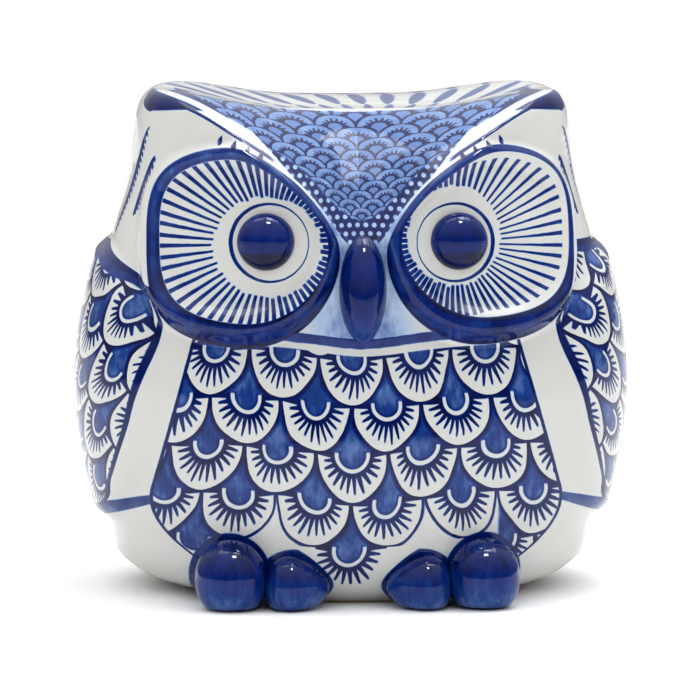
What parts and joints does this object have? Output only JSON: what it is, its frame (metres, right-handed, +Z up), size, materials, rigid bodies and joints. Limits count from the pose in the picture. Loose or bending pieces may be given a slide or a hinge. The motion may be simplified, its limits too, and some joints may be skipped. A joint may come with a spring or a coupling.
{
  "type": "owl coin bank",
  "caption": "Glazed porcelain owl money box with a coin slot in the back of its head and a pull-out rubber stopper in its base.",
  "frame": {"origin": "middle of the footprint, on the flat face of the foot ring that the bank stands on", "axes": "+Z up, face towards -Y, +X towards the owl's left wing, which is on the right as seen from the front"},
  "size_m": [0.1674, 0.1379, 0.1509],
  "materials": {
    "white_glaze": "white porcelain under clear gloss glaze, hand painted in cobalt blue",
    "cobalt_glaze": "deep cobalt underglaze blue, high gloss",
    "stopper_rubber": "matt moulded rubber"
  },
  "bodies": {
    "bank": {"body_shell": "white_glaze", "left_pupil": "cobalt_glaze", "right_pupil": "cobalt_glaze", "beak": "cobalt_glaze", "left_foot_outer_toe": "cobalt_glaze", "left_foot_inner_toe": "cobalt_glaze", "right_foot_outer_toe": "cobalt_glaze", "right_foot_inner_toe": "cobalt_glaze"},
    "stopper": {"base_stopper": "stopper_rubber"}
  },
  "joints": [
    {"name": "stopper_pull", "type": "slide", "parent": "bank", "child": "stopper", "axis": [0, 0, -1], "range_m": [0, 0.03]}
  ]
}
